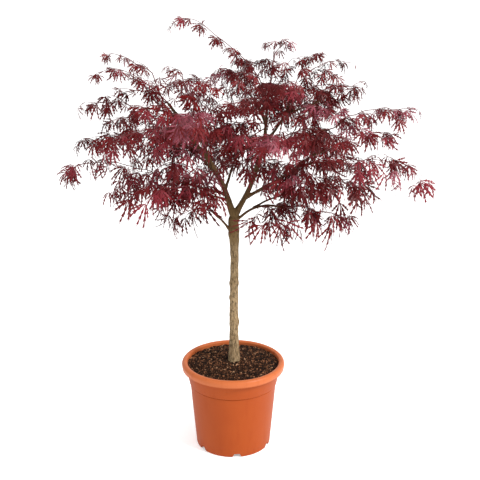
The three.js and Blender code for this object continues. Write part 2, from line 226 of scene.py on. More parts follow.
def wall_radius(z):
    """Radius of the outer wall at a height."""
    if z < POT_STEP_HEIGHT:
        share = z / POT_STEP_HEIGHT
        return POT_FOOT_RADIUS + share * (POT_STEP_RADIUS - POT_STEP_DEPTH - POT_FOOT_RADIUS)
    share = (z - POT_STEP_HEIGHT) / (POT_HEIGHT - POT_LIP_DROP - POT_STEP_HEIGHT)
    return POT_STEP_RADIUS + share * (POT_NECK_RADIUS - POT_STEP_RADIUS)


def arc(centre, radii, start, end, steps):
    """Points (radius, height) on a quarter ellipse between two angles in degrees."""
    points = []
    for i in range(steps + 1):
        angle = math.radians(start + (end - start) * i / steps)
        points.append((centre[0] + radii[0] * math.cos(angle), centre[1] + radii[1] * math.sin(angle)))
    return points


def pot_profile():
    """From the middle of the underside, up the outside, over the lip and down to the floor."""
    lip_bottom = POT_HEIGHT - POT_LIP_DROP
    inner_lip = POT_LIP_RADIUS - POT_LIP_WIDTH
    ring_inner = POT_FOOT_RADIUS - POT_RING_WIDTH
    profile = [(POT_PAD_RADIUS, 0.0), (POT_PAD_RADIUS + POT_RECESS, POT_RECESS)]
    profile += [(ring_inner - POT_RECESS, POT_RECESS), (ring_inner, 0.0)]
    foot = (POT_FOOT_RADIUS - POT_FOOT_BEVEL, POT_FOOT_BEVEL)
    profile += arc(foot, (POT_FOOT_BEVEL + 0.0003, POT_FOOT_BEVEL), -90, 0, 5)
    profile += [(wall_radius(z), z) for z in (0.04, 0.09, 0.14, POT_STEP_HEIGHT - 0.0034)]
    groove = POT_STEP_RADIUS - POT_STEP_DEPTH - POT_GROOVE
    profile += [(groove, POT_STEP_HEIGHT - 0.0026), (groove, POT_STEP_HEIGHT - 0.0008)]
    profile += [(POT_STEP_RADIUS - 0.0005, POT_STEP_HEIGHT - 0.0004), (POT_STEP_RADIUS, POT_STEP_HEIGHT)]
    hollow_top = lip_bottom + POT_LIP_HOLLOW
    profile += [(wall_radius(z), z) for z in (POT_STEP_HEIGHT + 0.012, lip_bottom - 0.004, hollow_top)]
    profile += [(POT_LIP_RADIUS - 0.0040, hollow_top)]
    hem = (POT_LIP_RADIUS - 0.0022, lip_bottom + POT_LIP_HEM)
    profile += arc(hem, (POT_LIP_HEM, POT_LIP_HEM), -120, -20, 4)
    roll = (POT_LIP_RADIUS - POT_LIP_ROLL, POT_HEIGHT - POT_LIP_ROLL)
    profile += arc(roll, (POT_LIP_ROLL, POT_LIP_ROLL), 0, 90, 9)
    roll = (inner_lip + POT_INNER_ROLL, POT_HEIGHT - POT_INNER_ROLL)
    profile += arc(roll, (POT_INNER_ROLL, 0.0045), 90, 180, 6)
    profile += [(inner_lip - 0.0006, lip_bottom - 0.002)]
    profile += [(wall_radius(z) - POT_WALL, z) for z in (lip_bottom - 0.010, POT_STEP_HEIGHT + 0.002)]
    profile += [(wall_radius(z) - POT_WALL, z) for z in (POT_STEP_HEIGHT - 0.002, POT_FLOOR)]
    return profile


def add_ring(shape, radius, sides, height):
    """A ring of corners about Z; its height is a number or a function of x and y."""
    ring = []
    for s in range(sides):
        angle = 2 * math.pi * s / sides
        x, y = radius * math.cos(angle), radius * math.sin(angle)
        ring.append(shape.verts.new((x, y, height(x, y) if callable(height) else height)))
    return ring


def finished_mesh(name, shape):
    mesh = bpy.data.meshes.new(name)
    shape.to_mesh(mesh)
    shape.free()
    return mesh


def lathe(name, profile, sides):
    """A closed mesh turned about Z; the profile's two ends are closed on the axis."""
    shape = bmesh.new()
    rings = [add_ring(shape, radius, sides, z) for radius, z in profile]
    for lower, upper in zip(rings, rings[1:]):
        for s in range(sides):
            n = (s + 1) % sides
            shape.faces.new((lower[s], lower[n], upper[n], upper[s]))
    for ring, (_, z), turned_up in ((rings[0], profile[0], False), (rings[-1], profile[-1], True)):
        middle = shape.verts.new((0.0, 0.0, z))
        for s in range(sides):
            n = (s + 1) % sides
            shape.faces.new((middle, ring[s], ring[n]) if turned_up else (middle, ring[n], ring[s]))
    return finished_mesh(name, shape)


def add_object(name, data):
    piece = bpy.data.objects.new(name, data)
    bpy.context.scene.collection.objects.link(piece)
    return piece


def plain_mesh(piece):
    """Turns a piece with modifiers into a plain mesh."""
    graph = bpy.context.evaluated_depsgraph_get()
    mesh = bpy.data.meshes.new_from_object(piece.evaluated_get(graph), depsgraph=graph)
    piece.modifiers.clear()
    piece.data = mesh
    return piece


def smooth(mesh, sharp_from=None):
    """Smooth shading, with edges sharper than an angle in degrees left hard."""
    mesh.shade_smooth()
    if sharp_from is not None:
        mesh.set_sharp_from_angle(angle=math.radians(sharp_from))


def declare(piece, slot, *nodes):
    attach(piece, ROOT)
    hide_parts(*nodes)


def notch_cutter():
    """All the notches as one mesh of tapering slots."""
    shape = bmesh.new()
    outer, inner = POT_FOOT_RADIUS + 0.01, POT_FOOT_RADIUS - NOTCH_DEPTH
    foot, top = NOTCH_FOOT_WIDTH / 2, NOTCH_TOP_WIDTH / 2
    shoulder = top + 0.0015
    outline = [(-foot, -0.002), (foot, -0.002), (shoulder, NOTCH_HEIGHT - 0.002), (top, NOTCH_HEIGHT)]
    outline += [(-top, NOTCH_HEIGHT), (-shoulder, NOTCH_HEIGHT - 0.002)]
    for i in range(NOTCH_COUNT):
        turn = Euler((0.0, 0.0, math.radians(NOTCH_FIRST + i * 360 / NOTCH_COUNT)))
        rims = []
        for reach in (outer, inner):
            rim = [Vector((x, -reach, z)) for x, z in outline]
            for point in rim:
                point.rotate(turn)
            rims.append([shape.verts.new(point) for point in rim])
        shape.faces.new(rims[0])
        shape.faces.new(reversed(rims[1]))
        for a in range(len(outline)):
            b = (a + 1) % len(outline)
            shape.faces.new((rims[0][b], rims[0][a], rims[1][a], rims[1][b]))
    bmesh.ops.recalc_face_normals(shape, faces=shape.faces)
    return finished_mesh("notches", shape)


pot = add_object("nursery_pot", lathe("nursery_pot", pot_profile(), POT_SIDES))
cutter = add_object("notches", notch_cutter())
cut = pot.modifiers.new("notches", "BOOLEAN")
cut.operation = "DIFFERENCE"
cut.solver = "EXACT"
cut.object = cutter
plain_mesh(pot)
bpy.data.objects.remove(cutter)
pot.data.materials.clear()
pot.data.materials.append(plastic_finish())
smooth(pot.data, sharp_from=38)
declare(pot, "terracotta_plastic", "pot")


# ---- The compost --------------------------------------------------------------------------------
# Peat and composted bark, filled to just under the lip and slightly heaped round the stem. The
# plug is one uneven mass, held by the pot's wall; loose chips of bark lie scattered over it.

compost_low, compost_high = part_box("compost")
COMPOST_RAISED = 0.0075
COMPOST_PLAY = 0.0004
COMPOST_LEVEL = compost_high.z + COMPOST_RAISED
COMPOST_RADIUS = wall_radius(COMPOST_LEVEL) - POT_WALL - COMPOST_PLAY
COMPOST_RINGS = 46
COMPOST_SIDES = 150
COMPOST_HEAP = 0.012
COMPOST_BED_GAP = 0.0005
COMPOST_SIDE_GAP = 0.003
COMPOST_LUMP = 0.0052
CHIP_KINDS = 12
CHIPS_PER_SQUARE_METRE = 90000.0
CHIP_LENGTH = (0.004, 0.014)
CHIP_SHAPE_SEED = 41
CHIP_SEED = 11
TONE_SEED = 7
STRIP_SHARE = 0.5
PEAT = (0.010, 0.0045, 0.0025)
PEAT_WARM = (0.032, 0.013, 0.006)
CHIP_COLOURS = {
    "chip_black": (0.007, 0.003, 0.0015),
    "chip_dark": (0.028, 0.011, 0.005),
    "chip_brown": (0.085, 0.032, 0.014),
    "chip_russet": (0.21, 0.088, 0.040),
    "chip_pale": (0.36, 0.20, 0.11),
}
CHIP_SHARES = (0.40, 0.25, 0.18, 0.13, 0.04)
CHIP_SHEEN = {"Roughness": 0.85, "Specular IOR Level": 0.12}


def compost_finish():
    finish = Finish("compost", {"Specular IOR Level": 0.08})
    crumbs = finish.grain(260.0, 5.0, roughness=0.7)
    colour = finish.blend(finish.fade(crumbs, 0.38, 0.66), PEAT, PEAT_WARM)
    return finish.surface(colour, 0.82 + crumbs * 0.12, crumbs, 0.0015)


def compost_height(x, y):
    """Height of the compost's surface."""
    reach = math.hypot(x, y) / COMPOST_RADIUS
    heap = COMPOST_HEAP * (1 - reach ** 2)
    lump = noise.noise(Vector((x * 90, y * 90, 1.7))) + 0.6 * noise.noise(Vector((x * 230, y * 230, 5.1)))
    return COMPOST_LEVEL - 0.001 + heap + COMPOST_LUMP * 0.5 * lump


def compost_mesh():
    shape = bmesh.new()
    top_middle = shape.verts.new((0.0, 0.0, compost_height(0.0, 0.0)))
    rings = []
    for r in range(1, COMPOST_RINGS + 1):
        reach = COMPOST_RADIUS * r / COMPOST_RINGS
        rings.append(add_ring(shape, reach, COMPOST_SIDES, compost_height))
    underside = compost_low.z + COMPOST_BED_GAP
    for z in (POT_STEP_HEIGHT, underside):
        rings.append(add_ring(shape, wall_radius(z) - POT_WALL - COMPOST_SIDE_GAP, COMPOST_SIDES, z))
    under_middle = shape.verts.new((0.0, 0.0, underside))
    for s in range(COMPOST_SIDES):
        n = (s + 1) % COMPOST_SIDES
        shape.faces.new((top_middle, rings[0][s], rings[0][n]))
        shape.faces.new((under_middle, rings[-1][n], rings[-1][s]))
        for inner, outer in zip(rings, rings[1:]):
            shape.faces.new((inner[s], outer[s], outer[n], inner[n]))
    return finished_mesh("compost_plug", shape)


compost = add_object("compost_plug", compost_mesh())
compost.data.materials.append(compost_finish())
smooth(compost.data, sharp_from=60)
declare(compost, "compost", "compost")


class Nodes(Tree):
    """A Geometry Nodes tree, which makes a piece's mesh out of what the piece holds."""

    def __init__(self, name):
        super().__init__(bpy.data.node_groups.new(name, "GeometryNodeTree"))
        for way in ("INPUT", "OUTPUT"):
            self.tree.interface.new_socket("Geometry", in_out=way, socket_type="NodeSocketGeometry")
        self.given = self.add("NodeGroupInput")
        self.sizes = {}

    def size(self, name, kind, value):
        """A named input of the tree, and the value that a piece gives it."""
        socket = self.tree.interface.new_socket(name, in_out="INPUT", socket_type="NodeSocket" + kind)
        self.sizes[socket.identifier] = value
        return Value(self, self.given.socket.node.outputs[name])

    def kinds(self, collection):
        """The shapes in a collection, each one apart."""
        sockets = {0: collection, "Separate Children": True, "Reset Children": True}
        return self.add("GeometryNodeCollectionInfo", {}, sockets)

    def dealt(self, kind, sockets, output=0):
        """A random value for each point."""
        return self.add("FunctionNodeRandomValue", {"data_type": kind}, sockets, output)

    def stored(self, name, kind):
        """A value that each point brings with it."""
        return self.add("GeometryNodeInputNamedAttribute", {"data_type": kind}, {"Name": name})

    def painted(self, geometry, colours, shares, sheen):
        """Deals plain colours out by each point's tone from 0 to 1, every colour with its share."""
        tone = self.stored("tone", "FLOAT")
        below = 0.0
        for (name, colour), share in zip(colours.items(), shares):
            chosen = self.add("FunctionNodeCompare", {"data_type": "FLOAT"}, {0: tone, 1: below - 0.001})
            finish = Finish(name, {"Base Color": colour, **sheen})
            sockets = {"Geometry": geometry, "Selection": chosen, "Material": finish.material}
            geometry = self.add("GeometryNodeSetMaterial", {}, sockets)
            below += share
        return geometry

    def ends_with(self, geometry):
        self.add("NodeGroupOutput", {}, {0: geometry})

    def run(self, piece):
        """Leaves the tree's result as the piece's plain mesh."""
        modifier = piece.modifiers.new(self.tree.name, "NODES")
        modifier.node_group = self.tree
        for identifier, value in self.sizes.items():
            modifier[identifier] = value
        return plain_mesh(piece)


def add_kind(kinds, name, shape):
    kinds.objects.link(bpy.data.objects.new(name, finished_mesh(name, shape)))


def chip_kinds():
    """Chips and crumbs of bark: some flat and round, some long, each with its own corners."""
    dice = random.Random(CHIP_SHAPE_SEED)
    kinds = bpy.data.collections.new("chips")
    for k in range(CHIP_KINDS):
        long_strip = k < CHIP_KINDS * STRIP_SHARE
        size = Vector((1.0, dice.uniform(0.16, 0.34), dice.uniform(0.08, 0.16)))
        if not long_strip:
            size = Vector((dice.uniform(0.45, 0.7), dice.uniform(0.35, 0.6), dice.uniform(0.22, 0.42)))
        shape = bmesh.new()
        bmesh.ops.create_icosphere(shape, subdivisions=1, radius=0.5)
        for vertex in shape.verts:
            vertex.co *= dice.uniform(0.72, 1.25)
            vertex.co = Vector(a * b for a, b in zip(vertex.co, size))
        add_kind(kinds, f"chip_{k}", shape)
    return kinds


def strewing(kinds):
    """A tree that strews shapes over the upward faces of a piece, each at a turn and size of its own."""
    nodes = Nodes("strew")
    upward = nodes.add("ShaderNodeSeparateXYZ", {}, {0: nodes.add("GeometryNodeInputNormal")}, 2)
    is_top = nodes.add("FunctionNodeCompare", {"data_type": "FLOAT"}, {0: upward, 1: 0.4})
    sockets = {"Mesh": nodes.given, "Selection": is_top, "Seed": CHIP_SEED}
    sockets["Density"] = nodes.size("Chips per square metre", "Float", CHIPS_PER_SQUARE_METRE)
    points = nodes.add("GeometryNodeDistributePointsOnFaces", {}, sockets)
    turn = {0: (-0.5, -0.5, 0.0), 1: (0.5, 0.5, 6.283), "Seed": CHIP_SEED}
    size = {"Seed": CHIP_SEED}
    for socket, name, length in zip((2, 3), ("Shortest chip", "Longest chip"), CHIP_LENGTH):
        size[socket] = nodes.size(name, "Float", length)
    sockets = {"Points": points, "Instance": nodes.kinds(kinds), "Pick Instance": True}
    sockets |= {"Rotation": nodes.dealt("FLOAT_VECTOR", turn), "Scale": nodes.dealt("FLOAT", size, 1)}
    strewn = nodes.add("GeometryNodeInstanceOnPoints", {}, sockets)
    sockets = {0: strewn, "Name": "tone", "Value": nodes.dealt("FLOAT", {"Seed": TONE_SEED}, 1)}
    stored = {"data_type": "FLOAT", "domain": "INSTANCE"}
    strewn = nodes.add("GeometryNodeStoreNamedAttribute", stored, sockets)
    geometry = nodes.add("GeometryNodeRealizeInstances", {}, {0: strewn})
    nodes.ends_with(nodes.painted(geometry, CHIP_COLOURS, CHIP_SHARES, CHIP_SHEEN))
    return nodes


chips = add_object("compost_chips", compost_mesh())
strewing(chip_kinds()).run(chips)
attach(chips, ROOT)


# ---- Stem and boughs ----------------------------------------------------------------------------
# The live wood: a grafted stem, rooted in the compost, that flares at its foot, forks, and carries
# one tapering limb after another, all grown together as one skin. The bark is fissured and tan low
# down, and smoother and redder on young wood.

BOUGHS = sorted(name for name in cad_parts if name.startswith("bough_"))
STEM_SLICES = 60
STEM_FULLNESS = 1.13
STEM_BASE_FULLNESS = 0.05
STEM_BASE_TOP = 0.46
STEM_BASE_FADE = 0.2
STEM_FIRST_SLICE = 0.0008
STEM_UNSLICED = 0.004
STEM_DOME = 0.022
STEM_DOMED = 0.85
STEM_BURIED = 0.012
STEM_FLARE = 1.15
LIMB_SLICES = 7
LIMB_FIRST_SLICE = 0.1
LIMB_SLICED_SHARE = 0.85
LIMB_FACET_LOSS = 1.04
LIMB_ROOTED = 0.9
LIMB_TIP_KEPT = 0.95
LIMB_END_TAPER = 0.03
LIMB_STEP = 0.006
THIN_LIMB_SHARE = 0.75
THIN_LIMB_GAIN = 0.0013
DRIFT_SEED = 7
DRIFTS_PER_METRE = 38
DRIFTS_APART = 7.3
STEM_DRIFT = 0.0012
LIMB_DRIFT = 0.0014
COLLAR_LENGTH = 4.0
COLLAR_SWELL = 0.42
COLLAR_MOST = 0.0025
WOOD_SIDES = 12
BARK_VOXEL = 0.00138
FISSURE_DEPTH = 0.0013
FURROW_GRAIN = (230, 48)
RIDGE_GRAIN = (60, 22)
NEAR_POINTS = 12
NEAR_BLUR = 0.003
OLD_GIRTH = 0.011
OLD_BARK = 0.8
CROWN_AGE = 0.42
GRAFT_HEIGHT = 0.66
TANNED_BELOW = 0.10
BARK_TAN = (0.190, 0.124, 0.060)
BARK_PALE = (0.340, 0.243, 0.135)
BARK_DARK = (0.050, 0.030, 0.016)
BARK_OLIVE = (0.132, 0.080, 0.030)
BARK_RED = (0.068, 0.028, 0.012)
KNOT_BREADTH = 0.55
KNOT_MIDDLE = 0.004
# Each knot: height, bearing in degrees, spread and rise. The first three are ridges of the graft.
KNOTS = ((0.656, -60, 0.0045, 0.0030), (0.650, -130, 0.0045, 0.0028), (0.663, -100, 0.0045, 0.0022))
KNOTS += ((0.642, 160, 0.010, 0.0022), (0.628, 20, 0.009, 0.0020), (0.499, 190, 0.008, 0.0024))
KNOTS += ((0.499, 350, 0.007, 0.0020), (0.455, 185, 0.006, 0.0014), (0.379, 350, 0.009, 0.0032))
KNOTS += ((0.560, 250, 0.007, 0.0015), (0.330, 215, 0.008, 0.0016), (0.300, 300, 0.007, 0.0015))
KNOTS += ((0.440, 80, 0.008, 0.0024), (0.590, 110, 0.008, 0.0020), (0.350, 95, 0.008, 0.0020))


def triangles_of(node):
    """The node's surface as an array of triangles' corners."""
    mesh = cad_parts[node].data
    corners = np.array([v.co for v in mesh.vertices])
    mesh.calc_loop_triangles()
    return corners[np.array([t.vertices for t in mesh.loop_triangles])]


def slice_of(triangles, point, normal):
    """Centre and mean radius of a limb where a plane cuts it."""
    heights = (triangles - point) @ normal
    pieces = []
    for corners, height in zip(triangles, heights):
        if height.min() >= 0 or height.max() <= 0:
            continue
        ends = []
        for a, b in ((0, 1), (1, 2), (2, 0)):
            if (height[a] < 0) != (height[b] < 0):
                ends.append(corners[a] + (corners[b] - corners[a]) * height[a] / (height[a] - height[b]))
        if len(ends) == 2:
            pieces.append(ends)
    pieces = np.array(pieces)
    middles = pieces.mean(1)
    lengths = np.linalg.norm(pieces[:, 0] - pieces[:, 1], axis=1)
    centre = (middles * lengths[:, None]).sum(0) / lengths.sum()
    radius = (np.linalg.norm(middles - centre, axis=1) * lengths).sum() / lengths.sum()
    return centre, radius


def unit(vector):
    return vector / np.linalg.norm(vector)


def clamp(value):
    return min(1.0, max(0.0, value))


def limb_route(node):
    """Centre line and radii of a bough, from inside the limb that carries it to its end."""
    triangles = triangles_of(node)
    points = triangles.reshape(-1, 3)
    axis = np.linalg.svd(points - points.mean(0), full_matrices=False)[2][0]
    along = points @ axis
    foot, end = sorted((points[along.argmin()], points[along.argmax()]), key=lambda p: p[2])
    chord = end - foot
    normal = unit(chord)
    shares = [LIMB_FIRST_SLICE + LIMB_SLICED_SHARE * i / (LIMB_SLICES - 1) for i in range(LIMB_SLICES)]
    slices = [slice_of(triangles, foot + chord * share, normal) for share in shares]
    centres = np.array([centre for centre, _ in slices])
    runs = np.gradient(centres, axis=0)
    leans = np.abs(runs @ normal) / np.linalg.norm(runs, axis=1)
    radii = np.array([radius for _, radius in slices]) * LIMB_FACET_LOSS * 2 / (1 + 1 / leans)
    places = np.arange(LIMB_SLICES)
    radii = np.polyval(np.polyfit(places, radii, 1), places)
    buried = np.linalg.norm(foot - centres[0]) + LIMB_ROOTED * radii[0] + 0.001
    left = np.linalg.norm(end - centres[-1]) * LIMB_TIP_KEPT
    head = centres[0] + unit(centres[0] - centres[1]) * buried
    tail = centres[-1] + unit(centres[-1] - centres[-2]) * left
    first, last = radii[0] * (1 + LIMB_END_TAPER), radii[-1] * (1 - LIMB_END_TAPER)
    radii = np.concatenate([[first], radii, [last]])
    return np.vstack([head, centres, tail]), radii


def stem_route():
    """Centre line and radii of the stem, from under the compost to the crotch."""
    triangles = triangles_of("trunk")
    low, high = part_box("trunk")
    centres, radii = [], []
    for i in range(STEM_SLICES):
        z = low.z + STEM_FIRST_SLICE + (high.z - low.z - STEM_UNSLICED) * i / (STEM_SLICES - 1)
        centre, radius = slice_of(triangles, np.array((0.0, 0.0, z)), np.array((0.0, 0.0, 1.0)))
        centres.append(centre)
        low_down = clamp((STEM_BASE_TOP - z) / STEM_BASE_FADE)
        dome = clamp((z - high.z + STEM_DOME) / STEM_DOME)
        radius *= STEM_FULLNESS + STEM_BASE_FULLNESS * low_down
        radii.append(radius * math.sqrt(1 - STEM_DOMED * dome ** 2))
    centres.insert(0, centres[0] - np.array((0.0, 0.0, STEM_BURIED)))
    radii.insert(0, radii[0] * STEM_FLARE)
    return np.array(centres), np.array(radii)


def resample(centres, values, step):
    """A smooth route through points, with a point every step, and values carried along."""
    control = np.vstack([2 * centres[0] - centres[1], centres, 2 * centres[-1] - centres[-2]])
    fine, carried = [], []
    for i in range(1, len(control) - 2):
        p0, p1, p2, p3 = control[i - 1 : i + 3]
        count = max(1, round(np.linalg.norm(p2 - p1) / step))
        for k in range(count):
            t = k / count
            a = 2 * p1 + (p2 - p0) * t + (2 * p0 - 5 * p1 + 4 * p2 - p3) * t * t
            fine.append((a + (3 * p1 - p0 - 3 * p2 + p3) * t ** 3) / 2)
            carried.append(values[i - 1] + (values[i] - values[i - 1]) * t)
    fine.append(centres[-1])
    carried.append(values[-1])
    return np.array(fine), np.array(carried)


def curves_object(name, routes):
    """Routes as one curve object whose points carry their radius."""
    data = bpy.data.curves.new(name, "CURVE")
    data.dimensions = "3D"
    for points, radii in routes:
        spline = data.splines.new("POLY")
        spline.points.add(len(points) - 1)
        spline.points.foreach_set("co", np.column_stack([points, np.ones(len(points))]).ravel())
        spline.points.foreach_set("radius", np.asarray(radii, float))
    return bpy.data.objects.new(name, data)


def tubes(name, routes, sides, material):
    """One piece of round limbs: each route gets a skin of its own radius, closed at both ends."""
    curves = curves_object(name + "_routes", routes)
    nodes = Nodes("limbs")
    middle = nodes.add("GeometryNodeObjectInfo", {}, {0: curves}, "Geometry")
    sockets = {"Resolution": nodes.size("Sides", "Int", sides), "Radius": 1.0}
    circle = nodes.add("GeometryNodeCurvePrimitiveCircle", {}, sockets)
    girth = nodes.add("GeometryNodeInputRadius")
    sockets = {"Curve": middle, "Profile Curve": circle, "Fill Caps": True, "Scale": girth}
    skin = nodes.add("GeometryNodeCurveToMesh", {}, sockets)
    skin = nodes.add("GeometryNodeRealizeInstances", {}, {0: skin})
    nodes.ends_with(nodes.add("GeometryNodeSetMaterial", {}, {"Geometry": skin, "Material": material}))
    piece = nodes.run(add_object(name, bpy.data.meshes.new(name)))
    bpy.data.objects.remove(curves)
    return piece


def bark_finish():
    """Tan fissured bark on old wood, olive at the crotch and dark red-brown on young wood."""
    finish = Finish("bark", {"Specular IOR Level": 0.15})
    age = finish.add("ShaderNodeAttribute", {"attribute_name": "age"}, output="Fac")
    fissures = finish.grain(300.0, 5.0, (1.0, 1.0, 0.3), 0.7)
    patches = finish.grain(26.0, 4.0, (1.0, 1.0, 0.5)) * 0.5
    patches = patches + finish.grain(170.0, 3.0, (1.0, 1.0, 0.4)) * 0.5
    old = finish.blend(finish.fade(patches, 0.40, 0.60), BARK_TAN, BARK_PALE)
    cracks = finish.fade(fissures, 0.42, 0.50, ends=(1.0, 0.0))
    old = finish.blend(cracks * 0.8, old, BARK_DARK)
    young = finish.blend(finish.fade(age, 0.10, 0.42), BARK_RED, BARK_OLIVE)
    young = finish.blend(cracks * 0.5, young, BARK_DARK)
    blotchy = age + patches * 0.3 - 0.15
    colour = finish.blend(finish.fade(blotchy, 0.42, 0.85), young, old)
    pores = finish.fade(finish.grain(700.0, 1.0, (1.0, 1.0, 0.6)), 0.66, 0.72)
    colour = finish.blend(pores * 0.4, colour, BARK_DARK)
    relief = fissures * 0.8 + finish.grain(520.0, 3.0) * 0.2
    return finish.surface(colour, 0.72 + patches * 0.2, relief, 0.0012)


def with_collar(points, radii):
    """Swells a limb where it leaves its carrier."""
    runs = np.linalg.norm(np.diff(points, axis=0), axis=1)
    travelled = np.concatenate([[0.0], runs.cumsum()])
    swell = COLLAR_SWELL * np.exp(-((travelled / (COLLAR_LENGTH * radii[0])) ** 2))
    return points, radii * (1 + np.minimum(swell, COLLAR_MOST / radii[0]))


def wander(points, amount, seed):
    """Lets a route stray a little, with both ends kept."""
    shifted = points.copy()
    last = len(points) - 1
    for i, point in enumerate(points):
        spot = Vector(point) * DRIFTS_PER_METRE + Vector((seed * DRIFTS_APART, 0, 0))
        drift = noise.noise_vector(spot)
        shifted[i] += np.array(drift) * amount * math.sin(math.pi * i / last)
    return shifted


def raise_bark(piece, routes):
    """Cuts fissures and raises knots in the skin, and stores how old the wood is at each point."""
    tree = kdtree.KDTree(sum(len(points) for points, _ in routes))
    girths = []
    for points, radii in routes:
        for point, radius in zip(points, radii):
            tree.insert(point, len(girths))
            girths.append(radius)
    tree.balance()
    mesh = piece.data
    count = len(mesh.vertices)
    places = np.empty(count * 3)
    mesh.vertices.foreach_get("co", places)
    places = places.reshape(count, 3)
    normals = np.array([v.vector for v in mesh.vertex_normals])
    pushes, ages = np.empty(count), np.empty(count)
    for i, spot in enumerate(places.tolist()):
        x, y, z = spot
        near = [(girths[k], gap) for _, k, gap in tree.find_n(spot, NEAR_POINTS)]
        near = [(girth, 1 / (NEAR_BLUR + max(0.0, gap - girth))) for girth, gap in near]
        stout = sum(min(1.0, girth / OLD_GIRTH) * weight for girth, weight in near)
        stout /= sum(weight for _, weight in near)
        across, along = FURROW_GRAIN
        furrow = noise.fractal(Vector((x * across, y * across, z * along)), 1.0, 2.1, 3)
        across, along = RIDGE_GRAIN
        ridge = noise.noise(Vector((x * across, y * across, z * along + 4.0)))
        pushes[i] = (0.4 * ridge + 0.6 * furrow) * FISSURE_DEPTH * stout ** 1.5
        ages[i] = stout * (CROWN_AGE + (1 - CROWN_AGE) * clamp((GRAFT_HEIGHT - z) / TANNED_BELOW))
        if stout > OLD_BARK and z < GRAFT_HEIGHT + 0.02:
            bearing = math.atan2(y, x - KNOT_MIDDLE)
            for height, azimuth, spread, rise in KNOTS:
                aside = math.remainder(bearing - math.radians(azimuth), 2 * math.pi) / KNOT_BREADTH
                pushes[i] += rise * math.exp(-(((z - height) / spread) ** 2) - aside ** 2)
    mesh.vertices.foreach_set("co", (places + normals * pushes[:, None]).ravel())
    attribute = mesh.attributes.new("age", "FLOAT", "POINT")
    attribute.data.foreach_set("value", ages)


noise.seed_set(DRIFT_SEED)  # vector noise is new on each run without it
stem_centres, stem_radii = resample(*stem_route(), LIMB_STEP)
wood_routes = [(wander(stem_centres, STEM_DRIFT, 1), stem_radii)]
limb_ends = {}
for number, bough in enumerate(BOUGHS):
    points, radii = resample(*limb_route(bough), LIMB_STEP)
    radii = np.maximum(radii, radii * THIN_LIMB_SHARE + THIN_LIMB_GAIN)
    limb_ends[bough] = (points, radii)
    wood_routes.append(with_collar(wander(points, LIMB_DRIFT, number), radii))
bark = bark_finish()
wood = tubes("stem_and_boughs", wood_routes, WOOD_SIDES, bark)
rebuilt = wood.modifiers.new("one skin", "REMESH")
rebuilt.mode = "VOXEL"
rebuilt.voxel_size = BARK_VOXEL
eased = wood.modifiers.new("eased", "SMOOTH")
eased.iterations = 3
plain_mesh(wood)
raise_bark(wood, wood_routes)
wood.data.materials.clear()
wood.data.materials.append(bark)
smooth(wood.data)
declare(wood, "bark", "trunk", *BOUGHS)


# ---- Shoots and twigs ---------------------------------------------------------------------------
# Young wood, thin and dark red. Each spray of foliage is one arching shoot that grows on from its
# bough, with side shoots and twiglets in opposite pairs, as on all maples. Short spurs clothe the
# outer part of each bough, and a few shoots follow a route of their own.

# Boughs that carry a mass of another name.
CARRIERS = {
    "left_shoulder": "left_top",
    "crown_centre": "leader",
    "right_low": "low_right",
    "low_front": "low_right",
    "front_centre_left": "front_left",
    "front_centre_right": "front_right",
    "front_low_left": "left_front_low",
    "front_low_right": "front_low",
    "back_centre": "back_mid",
}
# Parts of the crown, each one piece of leaves and one of twigs, and the masses they grow in.
REGIONS = {
    "upper_left": ("left_top", "left_shoulder", "left_high", "left_mid"),
    "lower_left": ("left_low", "left_front_low", "low_left", "left_inner"),
    "crown": ("crown_tip", "crown_centre", "right_top", "right_high"),
    "right": ("right_upper", "right_mid", "right_far", "right_side"),
    "front_left": ("front_left", "front_centre_left", "front_top", "front_low_left"),
    "front_right": ("front_right", "front_centre_right", "front_low_right", "low_front", "right_low"),
    "back": ("back_centre", "back_left", "back_right", "back_low", "back_top"),
}
# How full a spray is, where it is less than full.
OPEN_SPRAYS = {
    "left_top": 0.75, "left_shoulder": 0.8, "right_top": 0.8, "right_low": 0.8, "front_top": 0.62,
    "back_top": 0.75, "right_high": 0.85, "right_far": 0.85, "left_high": 0.8,
    "left_front_low": 0.85, "right_mid": 0.6, "front_right": 0.8, "left_inner": 0.55,
    "back_low": 0.55, "front_low_right": 0.55, "front_low_left": 0.7,
}
# Sprays in the light, with their place in the range of leaf colours, which paints a highlight on them.
PAINTED_SHEEN_SPRAYS = {"front_centre_left": 0.92, "front_centre_right": 0.85, "front_left": 0.7}
ONLY_LAID = "crown_tip"
STATIONS = 12
SHOOT_INSET = 0.043
SHOOT_UNDER_CREST = 0.003
SHOOT_RADII = (0.0019, 0.0006)
SHOOT_RISES_OVER = 0.3
SHOOT_STRAY = 0.010
SIDE_SPACING = 0.056
SIDE_REACH = 0.92
SIDE_ANGLE = (40, 62)
SIDE_RADII = (0.00105, 0.0005)
SIDE_SAG = (5.0, 11.0)
SIDE_WITH_TWIGLETS = 0.052
TWIGLET_SPACING = 0.042
TWIGLET_LENGTH = (0.024, 0.046)
TWIGLET_ANGLE = (38, 62)
TWIGLET_SAG = 13.0
TWIGLET_LAST = 0.86
TWIGLET_GAPS = 0.62
TWIGLET_RADII = (0.0006, 0.0004)
SPUR_SPACING = 0.072
SPUR_LENGTH = (0.060, 0.125)
SPUR_ANGLE = (45, 80)
SPUR_SAG = (6, 13)
SPUR_GAPS = 0.25
# How far along its bough the first spur stands.
SPUR_START = 0.34
SPUR_STARTS = {
    "bough_left": 0.62, "bough_right": 0.62, "bough_left_low": 0.10, "bough_left_front_low": 0.10,
    "bough_low_left": 0.10, "bough_left_inner": 0.10, "bough_front_low": 0.10,
}
GROWTH_STEP = 0.012
GROWTH_STRAY = 0.09
LEAF_SPACING = 0.079
TWIG_SIDES = 3
TWIG_COLOUR = (0.105, 0.012, 0.013)
UP = Vector((0.0, 0.0, 1.0))
